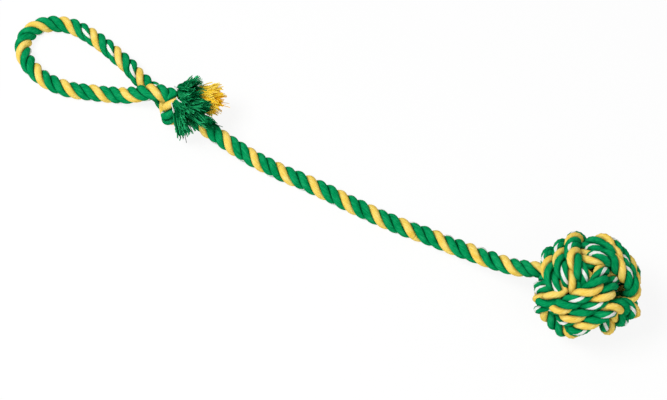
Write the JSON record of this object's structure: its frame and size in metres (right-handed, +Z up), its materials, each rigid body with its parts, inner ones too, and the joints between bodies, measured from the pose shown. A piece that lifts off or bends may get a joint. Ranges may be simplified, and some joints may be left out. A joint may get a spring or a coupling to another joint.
{
  "type": "rope dog toy",
  "caption": "Rope dog toy: thick laid cotton rope tied as a round ball knot at one end, a straight shaft, and a knotted hand loop with frayed strand ends at the other.",
  "frame": {"origin": "middle of the toy's length and width, on the floor that it lies on", "axes": "+X along the toy from the hand loop to the ball, +Z up from the floor"},
  "size_m": [0.4664, 0.0674, 0.0634],
  "materials": {
    "rope": "matte cotton rope, two green strands and one yellow, with a white marker yarn in one green strand",
    "tassel_green": "matte frayed green cotton yarn",
    "tassel_yellow": "matte frayed yellow cotton yarn",
    "core": "wound cotton core, hidden"
  },
  "bodies": {
    "ball": {"fist_first_turns": "rope", "fist_second_turns": "rope", "fist_third_turns": "rope", "fist_core": "core", "ball_neck": "rope"},
    "shaft_front": {"shaft_ball_end": "rope", "shaft_middle_bend": "rope"},
    "shaft_back": {"shaft_knot_end": "rope", "knot_neck": "rope"},
    "handle": {"standing_part": "rope", "knot_wrap": "rope", "tassel_green_upper": "tassel_green", "tassel_green_lower": "tassel_green", "tassel_yellow": "tassel_yellow", "loop_root_upper": "rope", "loop_root_lower": "rope"},
    "loop": {"handle_loop": "rope"}
  },
  "joints": [
    {"name": "ball_swing", "type": "hinge", "parent": "ball", "child": "shaft_front", "pos_m": [0.13003, -0.0048, 0.0155], "axis": [0, 0, 1], "range_deg": [-50, 50], "deforming": ["ball_neck"]},
    {"name": "shaft_bend", "type": "hinge", "parent": "shaft_front", "child": "shaft_back", "pos_m": [0.03363, -0.0051, 0.0046], "axis": [0, 0, 1], "range_deg": [-60, 60], "deforming": ["shaft_middle_bend"]},
    {"name": "handle_swing", "type": "hinge", "parent": "shaft_back", "child": "handle", "pos_m": [-0.05847, -0.0054, 0.0098], "axis": [0, 0, 1], "range_deg": [-50, 50], "deforming": ["knot_neck"]},
    {"name": "loop_lift", "type": "hinge", "parent": "handle", "child": "loop", "pos_m": [-0.14397, 0.0044, 0.0046], "axis": [0, 1, 0], "range_deg": [0, 75], "deforming": ["loop_root_upper", "loop_root_lower"]}
  ]
}
